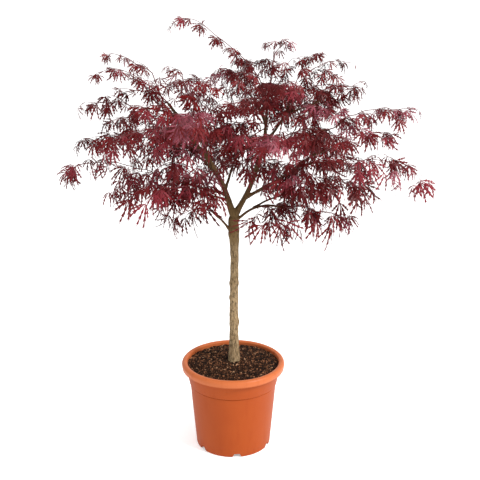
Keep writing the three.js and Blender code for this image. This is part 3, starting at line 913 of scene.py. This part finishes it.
# Shoots with a route of their own, in millimetres: the bough, how far along it they start, their half
# width, how full they are, and their way. They give the crown its skyline and fill its thin places.
LAID_SHOOTS = (
    ("leader", 1, 44, 1, ((79, 20, 1060), (49, 20, 1108), (15, 10, 1143), (-17, 0, 1171), (-48, 0, 1194),
        (-77, 0, 1219), (-105, 0, 1232), (-136, -10, 1233), (-160, -10, 1220))),
    ("leader", 1, 50, 0.9, ((100, 0, 1052), (108, 0, 1100), (112, 0, 1147), (112, 0, 1181))),
    ("right_top", 0.8, 55, 0.9, ((163, -20, 1055), (180, -30, 1104), (198, -30, 1136), (212, -30, 1145),
        (226, -30, 1135))),
    ("leader", 0.8, 60, 0.8, ((67, -50, 1049), (46, -90, 1086), (28, -120, 1110), (10, -140, 1108))),
    ("right_top", 0.6, 80, 1, ((157, 50, 1012), (187, 100, 1032), (223, 140, 1037), (254, 170, 1022))),
    ("left_inner", 0.9, 70, 1, ((-107, -30, 1046), (-84, -60, 1072), (-62, -90, 1081), (-41, -120, 1070))),
    ("left_top", 0.6, 60, 1, ((-164, -50, 997), (-187, -90, 1019), (-210, -120, 1024),
        (-229, -140, 1012))),
    ("right_upper", 0.5, 80, 1, ((168, -50, 954), (197, -80, 991), (226, -100, 1011), (256, -120, 1004))),
    ("left_low", 0.35, 80, 1, ((-99, -40, 832), (-129, -70, 861), (-158, -100, 873), (-188, -120, 867))),
    ("back_top", 1, 75, 0.8, ((43, 140, 1043), (32, 190, 1064), (20, 240, 1069), (8, 300, 1050))),
    ("front_top", 1, 60, 0.8, ((76, -110, 1043), (90, -150, 1075), (106, -190, 1090), (122, -230, 1086))),
    ("left_front_low", 0.5, 50, 1, ((-68, -80, 810), (-65, -120, 812), (-52, -155, 800))),
    ("left_low", 0.5, 60, 1, ((-130, -50, 820), (-150, -100, 820), (-160, -150, 800))),
    ("leader", 1, 45, 0.7, ((120, -60, 1050), (140, -120, 1085), (150, -180, 1090), (160, -240, 1070))),
    ("leader", 1, 45, 0.7, ((70, 80, 1060), (50, 140, 1100), (30, 200, 1105), (20, 260, 1090))),
    ("left_inner", 1, 60, 1, ((-130, 110, 1040), (-150, 170, 1050), (-170, 230, 1040))),
    ("left_mid", 0.5, 60, 1, ((-150, 60, 920), (-170, 130, 925), (-190, 200, 910), (-210, 260, 880))),
    ("right_mid", 0.5, 60, 1, ((210, -60, 880), (220, -130, 890), (230, -200, 880), (240, -260, 850))),
    ("right_mid", 0.6, 60, 1, ((240, 80, 880), (260, 150, 885), (270, 210, 870), (280, 270, 840))),
    ("left_low", 0.6, 60, 1, ((-120, 60, 790), (-130, 120, 795), (-150, 180, 780), (-160, 240, 750))),
    ("low_right", 0.6, 50, 1, ((105, -40, 733), (125, -80, 722), (145, -115, 695))),
    ("left_inner", 0.55, 60, 1, ((-60, -20, 1000), (-45, -60, 1020), (-30, -100, 1010))),
    ("front_left", 0.3, 55, 1, ((-85, -80, 910), (-110, -110, 915), (-140, -140, 890))),
    ("right_low", 0.35, 60, 1, ((100, -50, 845), (115, -90, 860), (140, -130, 840))),
    ("right_low", 0.45, 60, 1, ((120, 60, 825), (125, 110, 825), (130, 160, 800))),
    ("leader", 0.45, 60, 1, ((20, -60, 970), (-10, -100, 980), (-40, -140, 965))),
    ("leader", 0.35, 55, 1, ((30, 60, 900), (0, 100, 910), (-30, 150, 900))),
    ("left_top", 1, 45, 1, ((-210, -30, 1055), (-260, -50, 1095), (-310, -60, 1112), (-345, -70, 1100))),
    ("left", 0.45, 55, 1, ((-55, 50, 850), (-45, 100, 860), (-40, 150, 845))),
    ("low_right", 1, 55, 1, ((190, -30, 735), (225, -60, 725), (260, -90, 700))),
    ("leader", 1, 45, 0.9, ((125, 20, 1060), (140, 20, 1100), (158, 10, 1128), (178, 0, 1130))),
    ("left_mid", 0.35, 55, 1, ((-150, -40, 895), (-190, -60, 905), (-235, -80, 890), (-270, -90, 865))),
    ("right_high", 0.5, 55, 1, ((190, 0, 985), (230, -10, 1000), (270, -20, 990))),
    ("right", 0.55, 50, 1, ((20, 50, 870), (0, 90, 875), (-20, 130, 865))),
)


def crest_of(mass, foot):
    """How a mass lies along the line from its foot to its tip: middle, crest and half width."""
    triangles = triangles_of(mass)
    first, second, third = triangles[:, 0], triangles[:, 1], triangles[:, 2]
    shares = [(a / 5, b / 5, 1 - (a + b) / 5) for a in range(6) for b in range(6 - a)]
    surface = np.vstack([first * a + second * b + third * c for a, b, c in shares])
    away = surface - np.array(foot)
    tip = away[(away[:, :2] ** 2).sum(1).argmax()]
    onward = np.array((tip[0], tip[1], 0.0)) / math.hypot(tip[0], tip[1])
    sideways = np.array((-onward[1], onward[0], 0.0))
    along, across = away @ onward, away @ sideways
    reach = along.max()
    stations = []
    for i in range(STATIONS):
        run = reach * i / (STATIONS - 1)
        here = np.abs(along - run) < reach / 16
        if here.any():
            low, high = across[here].min(), across[here].max()
            stations.append((run, (low + high) / 2, (high - low) / 2, away[here][:, 2].max()))
    return np.array(stations), Vector(onward), Vector(sideways)


def grow(start, heading, length, radii, sag, dice):
    """A shoot that sets off in a heading and sags under its leaves."""
    points, place, heading = [start.copy()], start.copy(), heading.normalized()
    steps = max(2, round(length / GROWTH_STEP))
    for _ in range(steps):
        stray = Vector([dice.gauss(0, 1) for _ in range(3)]) * GROWTH_STRAY
        heading = (heading + stray - UP * sag * GROWTH_STEP).normalized()
        place = place + heading * length / steps
        points.append(place.copy())
    return points, np.linspace(radii[0], radii[1], steps + 1)


def nodes_along(points, spacing, first):
    """Places every so far along a shoot, with the shoot's heading there and the share travelled."""
    total = sum((b - a).length for a, b in zip(points, points[1:]))
    travelled, wanted = 0.0, first
    for a, b in zip(points, points[1:]):
        run = (b - a).length
        while wanted < travelled + run:
            yield a + (b - a) * ((wanted - travelled) / run), (b - a).normalized(), wanted / total
            wanted += spacing
        travelled += run


def across_from(heading):
    """The level direction square to a heading."""
    across = heading.cross(UP)
    return across.normalized() if across.length > 0.05 else Vector((1.0, 0.0, 0.0))


def side_heading(heading, side, angle, lift):
    """Where a side shoot sets off to, at an angle in degrees from its carrier."""
    angle = math.radians(angle)
    return heading * math.cos(angle) + across_from(heading) * side * math.sin(angle) + UP * lift


def clothe(shoots, base, depth, dice):
    """Adds a shoot, and below it its twiglets in opposite pairs."""
    points, radii, tone = base
    shoots.append((points, radii, tone, depth))
    if depth == 0:
        return
    first = TWIGLET_SPACING * dice.uniform(0.5, 0.9)
    for place, heading, share in nodes_along(points, TWIGLET_SPACING, first):
        if share > TWIGLET_LAST:
            break
        for side in (-1, 1):
            if dice.random() < TWIGLET_GAPS:
                continue
            length = dice.uniform(*TWIGLET_LENGTH) * (1.15 - 0.4 * share)
            set_off = side_heading(heading, side, dice.uniform(*TWIGLET_ANGLE), dice.uniform(-0.1, 0.25))
            twiglet = grow(place, set_off, length, TWIGLET_RADII, TWIGLET_SAG, dice)
            shoots.append((*twiglet, tone, 0))


def spray_shoots(member, seed):
    """All shoots of one mass of foliage."""
    dice = random.Random(seed)
    mass = "foliage_" + member
    route, route_radii = limb_ends["bough_" + CARRIERS.get(member, member)]
    corners = triangles_of(mass).reshape(-1, 3)
    gaps = [np.linalg.norm(corners - point, axis=1).min() for point in route]
    joint = int(np.argmin(gaps))
    if joint > len(route) * 0.8:
        joint = len(route) - 1
    foot = Vector(route[joint])
    stations, onward, sideways = crest_of(mass, foot)
    reach = stations[-1, 0] - SHOOT_INSET
    points = []
    steps = max(6, round(reach / GROWTH_STEP))
    for i in range(steps + 1):
        run = reach * i / steps
        middle = np.interp(run, stations[:, 0], stations[:, 1])
        crest = np.interp(run, stations[:, 0], stations[:, 3]) - SHOOT_UNDER_CREST
        blend = min(1.0, run / (SHOOT_RISES_OVER * reach))
        blend = blend * blend * (3 - 2 * blend)
        stray = noise.noise_vector(foot + UP * run * 30) * SHOOT_STRAY * blend
        points.append(foot + onward * run + sideways * middle * blend + UP * crest * blend + stray)
    halves = np.interp(np.linspace(0, reach, STATIONS), stations[:, 0], stations[:, 2])
    fullness, pale = OPEN_SPRAYS.get(member, 1.0), PAINTED_SHEEN_SPRAYS.get(member)
    return feather(points, float(route_radii[joint]), halves, fullness, dice, pale)


def feather(points, thick, halves, fullness, dice, pale=None):
    """One arching shoot with its side shoots in pairs, as long as the spray is wide there."""
    shoots = []
    # A spray in the light takes its given high tone, a painted highlight; the others take a random tone.
    main_tone = dice.random() if pale is None else pale
    radii = np.linspace(min(thick, SHOOT_RADII[0]), SHOOT_RADII[1], len(points))
    clothe(shoots, (points, radii, main_tone), 0, dice)
    for place, heading, share in nodes_along(points, SIDE_SPACING, SIDE_SPACING * 0.8):
        half = np.interp(share, np.linspace(0, 1, len(halves)), halves)
        for side in (-1, 1):
            angle = dice.uniform(*SIDE_ANGLE) * (1 - 0.25 * share)
            if dice.random() > fullness + 0.1:
                continue
            length = half * SIDE_REACH * dice.uniform(0.65, 1.15) * (1.25 - 0.55 * share) * fullness ** 0.5
            length = max(0.02, length)
            set_off = side_heading(heading, side, angle, dice.uniform(-0.15, 0.34))
            tone = min(0.999, max(0.0, 0.45 * main_tone + 0.55 * dice.random()))
            side_shoot = grow(place, set_off, length, SIDE_RADII, dice.uniform(*SIDE_SAG), dice)
            clothe(shoots, (*side_shoot, tone), int(length > SIDE_WITH_TWIGLETS), dice)
    return shoots


def laid_shoot(bough, share, half, fullness, places, seed):
    """A spray along a route of its own, from a place on a bough."""
    dice = random.Random(seed)
    route, radii = limb_ends[bough]
    joint = round((len(route) - 1) * share)
    knots = np.vstack([route[joint], places])
    knots, _ = resample(knots, np.zeros(len(knots)), GROWTH_STEP)
    halves = half * np.sin(np.linspace(0.5, 2.4, STATIONS))
    return feather([Vector(knot) for knot in knots], float(radii[joint]), halves, fullness, dice)


def spur_shoots(bough, seed):
    """Short leafy spurs along the outer part of a bough."""
    dice = random.Random(seed)
    route = [Vector(point) for point in limb_ends[bough][0]]
    shoots = []
    for place, heading, share in nodes_along(route, SPUR_SPACING, SPUR_SPACING):
        if share < SPUR_STARTS.get(bough, SPUR_START):
            continue
        for side in (-1, 1):
            if dice.random() < SPUR_GAPS:
                continue
            set_off = side_heading(heading, side, dice.uniform(*SPUR_ANGLE), dice.uniform(0.0, 0.8))
            length, sag = dice.uniform(*SPUR_LENGTH), dice.uniform(*SPUR_SAG)
            spur = grow(place, set_off, length, SIDE_RADII, sag, dice)
            clothe(shoots, (*spur, dice.random() * 0.8), 1, dice)
    return shoots


def nearest_region(place):
    return min(REGIONS, key=lambda region: (region_middles[region] - place).length)


twig_look = {"Base Color": TWIG_COLOUR, "Roughness": 0.6, "Specular IOR Level": 0.3}
twig_finish = Finish("twig_skin", twig_look).material
region_shoots, region_middles = {}, {}
for region, members in REGIONS.items():
    region_shoots[region] = []
    for member in members:
        if member != ONLY_LAID:
            region_shoots[region] += spray_shoots(member, "shoot " + member)
    boxes = [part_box("foliage_" + member) for member in members]
    region_middles[region] = sum(((low + high) / 2 for low, high in boxes), Vector()) / len(boxes)
for bough in BOUGHS:
    region_shoots[nearest_region(Vector(limb_ends[bough][0][-1]))] += spur_shoots(bough, "spur " + bough)
for k, (member, share, half, fullness, places) in enumerate(LAID_SHOOTS):
    places = np.array(places) / 1000
    shoots = laid_shoot("bough_" + member, share, half / 1000, fullness, places, f"laid {k}")
    region_shoots[nearest_region(Vector(places[-1]))] += shoots
for region, shoots in region_shoots.items():
    routes = [([tuple(p) for p in points], radii) for points, radii, _, _ in shoots]
    twigs = tubes("twigs_" + region, routes, TWIG_SIDES, twig_finish)
    smooth(twigs.data)
    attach(twigs, ROOT)


# ---- Leaves -------------------------------------------------------------------------------------
# Soft, glossy leaves cut to the stalk into narrow toothed lobes with drawn-out tips. They hang in
# opposite pairs from every shoot and close over it like a tassel; their colour goes by the spray.
# The mauve among them is a painted sky reflection and the bright red is painted light shining through.

LEAF_KINDS = 12
LEAF_KIND_SEED = 97
LEAF_GAPS = 0.08
LEAF_LENGTH = (0.056, 0.084)
TOP_LEAF_SIZE = 0.46
TOP_LEAF_BREADTH = 0.7
TOP_LEAF_SPACING = 0.38
TOP_LEAF_HEIGHTS = (0.78, 1.08)
LEAF_STALK = 0.15
STALK_HALF_WIDTH = 0.007
# Lobes by bearing and length; their half widths along the way; teeth by start, end, root and tip.
LEAF_LOBES = ((0, 0.85), (-30, 0.70), (31, 0.72), (-62, 0.46), (61, 0.48))
LOBE_STATIONS = ((0.0, 0.006), (0.36, 0.027), (0.68, 0.022))
LOBE_TEETH = ((0.22, 0.44, 0.018, 0.046), (0.44, 0.66, 0.024, 0.050), (0.64, 0.84, 0.020, 0.039))
LEAF_COLOURS = {
    "leaf_deep": (0.062, 0.002, 0.0022),
    "leaf_wine": (0.116, 0.0072, 0.0085),
    "leaf_plum": (0.162, 0.018, 0.025),
    # Painted reflection: the sky's sheen on glossy leaves, painted as a mauve colour.
    "leaf_mauve": (0.195, 0.044, 0.060),
    # Painted light: light shining through thin leaves, painted as a bright red colour.
    "leaf_bright": (0.210, 0.008, 0.008),
}
LEAF_SHARES = (0.34, 0.34, 0.17, 0.10, 0.05)
LEAF_SHEEN = {"Roughness": 0.42, "Specular IOR Level": 0.13}


def lobe(shape, foot, angle, lift, length, width, droop, twist):
    """One lobe: a strip of faces that tapers to a tail, with teeth on both edges."""
    onward = Vector((math.sin(angle), math.cos(angle), lift)).normalized()
    across = Vector((math.cos(angle), -math.sin(angle), 0.0))

    def point(run, offset):
        curl = twist * run
        place = foot + onward * length * run + across * offset * math.cos(curl)
        return place + UP * (offset * math.sin(curl) - droop * length * run * run)

    rims = []
    for run, half in LOBE_STATIONS:
        rims.append([shape.verts.new(point(run, side * half * width)) for side in (-1, 1)])
    tail = shape.verts.new(point(1.0, 0.0))
    for lower, upper in zip(rims, rims[1:]):
        shape.faces.new((lower[0], lower[1], upper[1], upper[0]))
    shape.faces.new((rims[-1][0], rims[-1][1], tail))
    for start, end, root, tip in LOBE_TEETH:
        for side in (-1, 1):
            corners = [point(start, side * root * width * 0.8), point(end, side * tip * width * 1.25)]
            corners.append(point(end - 0.03, side * root * width * 0.6))
            tooth = [shape.verts.new(corner) for corner in corners]
            shape.faces.new(tooth if side > 0 else reversed(tooth))


def leaf_kinds():
    """Leaves of different cut and curl, each one unit long with its stalk."""
    dice = random.Random(LEAF_KIND_SEED)
    kinds = bpy.data.collections.new("leaves")
    for k in range(LEAF_KINDS):
        shape = bmesh.new()
        droop = dice.uniform(0.35, 0.9)
        spread = dice.uniform(0.7, 1.05)
        foot = Vector((0.0, LEAF_STALK, 0.0))
        left, right = Vector((-STALK_HALF_WIDTH, 0.0, 0.0)), Vector((STALK_HALF_WIDTH, 0.0, 0.0))
        stalk = (left, right, foot + right, foot + left)
        shape.faces.new([shape.verts.new(corner) for corner in stalk])
        for angle, length in LEAF_LOBES:
            turn = math.radians((angle + dice.uniform(-6, 6)) * spread)
            lift = dice.uniform(-0.10, 0.16)
            longer = length * dice.uniform(0.85, 1.15)
            sag = droop * dice.uniform(0.8, 1.2)
            lobe(shape, foot, turn, lift, longer, dice.uniform(0.85, 1.15), sag, dice.uniform(-0.6, 0.6))
        add_kind(kinds, f"leaf_{k:02d}", shape)
    return kinds


def youth(z):
    """How far up toward the young growth at the top a place is, 0 to 1."""
    low, high = TOP_LEAF_HEIGHTS
    return clamp((z - low) / (high - low))


def hang_leaf(leaves, place, outward, heading, fall, size, tone, dice):
    """One leaf that points outward and down, with its upper side to the light."""
    young = youth(place.z)
    size *= 1 - (1 - TOP_LEAF_SIZE) * young
    broad = size * (1 + TOP_LEAF_BREADTH * young)
    onward = Vector((heading.x, heading.y, min(heading.z, 0.15)))
    axis = (onward + outward * 0.4 - UP * fall).normalized()
    face = UP + outward * 0.5 + Vector((dice.gauss(0, 0.5), dice.gauss(0, 0.5), 0.0))
    face = (face - axis * face.dot(axis)).normalized()
    across = axis.cross(face)
    turn = Matrix((across, axis, face)).transposed().to_euler()
    leaves.append((place, turn, (broad, size, size), dice.randrange(LEAF_KINDS), tone))


def leaves_of(shoots, seed):
    dice = random.Random(seed)
    leaves = []
    for points, _, tone, _ in shoots:
        upright = 0
        spacing = LEAF_SPACING * (1 - (1 - TOP_LEAF_SPACING) * youth(points[0].z))
        first = spacing * dice.uniform(0.35, 0.9)
        for place, heading, share in nodes_along(points, spacing, first):
            upright = 1 - upright
            across = across_from(heading)
            over = across.cross(heading)
            for side in (-1, 1):
                if dice.random() < LEAF_GAPS:
                    continue
                outward = across * side + over * dice.uniform(-0.2, 0.3)
                fall = dice.uniform(0.4, 1.1)
                if upright:
                    outward = across * dice.uniform(-0.5, 0.5) + over * side * 0.6
                    fall = dice.uniform(0.1, 0.6) if side > 0 else dice.uniform(0.7, 1.5)
                size = dice.uniform(*LEAF_LENGTH) * (1.0 - 0.15 * share)
                hang_leaf(leaves, place, outward, heading, fall, size, tone, dice)
        heading = (points[-1] - points[-2]).normalized()
        size = dice.uniform(*LEAF_LENGTH) * 0.9
        hang_leaf(leaves, points[-1], Vector(), heading, dice.uniform(0.4, 0.9), size, tone, dice)
    return leaves


def leaf_placing(kinds):
    """A tree that puts a leaf at each point, with the kind, turn, size and tone that the point brings."""
    nodes = Nodes("leaves")
    sockets = {"Points": nodes.given, "Instance": nodes.kinds(kinds), "Pick Instance": True}
    sockets["Instance Index"] = nodes.stored("kind", "INT")
    turn = nodes.stored("turn", "FLOAT_VECTOR")
    sockets["Rotation"] = nodes.add("FunctionNodeEulerToRotation", {}, {0: turn})
    sockets["Scale"] = nodes.stored("size", "FLOAT_VECTOR")
    placed = nodes.add("GeometryNodeInstanceOnPoints", {}, sockets)
    geometry = nodes.add("GeometryNodeRealizeInstances", {}, {0: placed})
    geometry = nodes.painted(geometry, LEAF_COLOURS, LEAF_SHARES, LEAF_SHEEN)
    for name in ("kind", "turn", "size", "tone"):
        geometry = nodes.add("GeometryNodeRemoveAttribute", {}, {0: geometry, "Name": name})
    nodes.ends_with(geometry)
    return nodes


placing = leaf_placing(leaf_kinds())
for region, members in REGIONS.items():
    leaves = leaves_of(region_shoots[region], "leaves " + region)
    mesh = bpy.data.meshes.new("leaves_" + region)
    places, turns, sizes, kinds, tones = zip(*leaves)
    mesh.from_pydata(places, [], [])
    columns = (
        ("turn", "FLOAT_VECTOR", "vector", turns), ("size", "FLOAT_VECTOR", "vector", sizes),
        ("kind", "INT", "value", kinds), ("tone", "FLOAT", "value", tones),
    )
    for name, kind, field, values in columns:
        attribute = mesh.attributes.new(name, kind, "POINT")
        attribute.data.foreach_set(field, np.ravel(values).tolist())
    piece = add_object("leaves_" + region, mesh)
    placing.run(piece)
    smooth(piece.data)
    declare(piece, "leaves", *("foliage_" + member for member in members))


# ---- The stage ----------------------------------------------------------------------------------
# A pale floor under a white sky, bright enough to hold back the shadow of the pot. One large soft
# lamp stands at the upper right, and the camera looks down at the middle of the plant from the front.

LAMP_PLACE = (2.3, -1.5, 2.6)
LAMP_AIM = Vector((0.0, 0.0, 0.7))
CAMERA_PLACE = (0.0201, -2.5, 1.42)
CAMERA_TILT = 17.6
CAMERA_LENS = 70.1

world = bpy.data.worlds.new("sky")
world.use_nodes = True
sky = world.node_tree.nodes["Background"]
sky.inputs["Color"].default_value = (1.0, 1.0, 1.0, 1.0)
sky.inputs["Strength"].default_value = 0.99
bpy.context.scene.world = world

floor_mesh = bpy.data.meshes.new("floor")
floor_mesh.from_pydata([(-40, -40, 0), (40, -40, 0), (40, 40, 0), (-40, 40, 0)], [], [(0, 1, 2, 3)])
floor = add_object("floor", floor_mesh)
floor_look = {"Base Color": (0.97, 0.97, 0.97), "Roughness": 0.9, "Specular IOR Level": 0.1}
floor_look |= {"Emission Color": (1.0, 1.0, 1.0), "Emission Strength": 0.33}
floor.data.materials.append(Finish("floor", floor_look).material)

lamp = add_object("key_lamp", bpy.data.lights.new("key_lamp", "AREA"))
lamp.data.shape = "DISK"
lamp.data.size = 1.1
lamp.data.energy = 130
lamp.location = LAMP_PLACE
lamp.rotation_euler = (LAMP_AIM - lamp.location).to_track_quat("-Z", "Y").to_euler()

camera = add_object("camera", bpy.data.cameras.new("camera"))
camera.data.lens = CAMERA_LENS
camera.data.sensor_width = 36.0
camera.location = CAMERA_PLACE
camera.rotation_euler = (math.radians(90 - CAMERA_TILT), 0.0, 0.0)
bpy.context.scene.camera = camera
bpy.context.scene.view_settings.view_transform = "Standard"
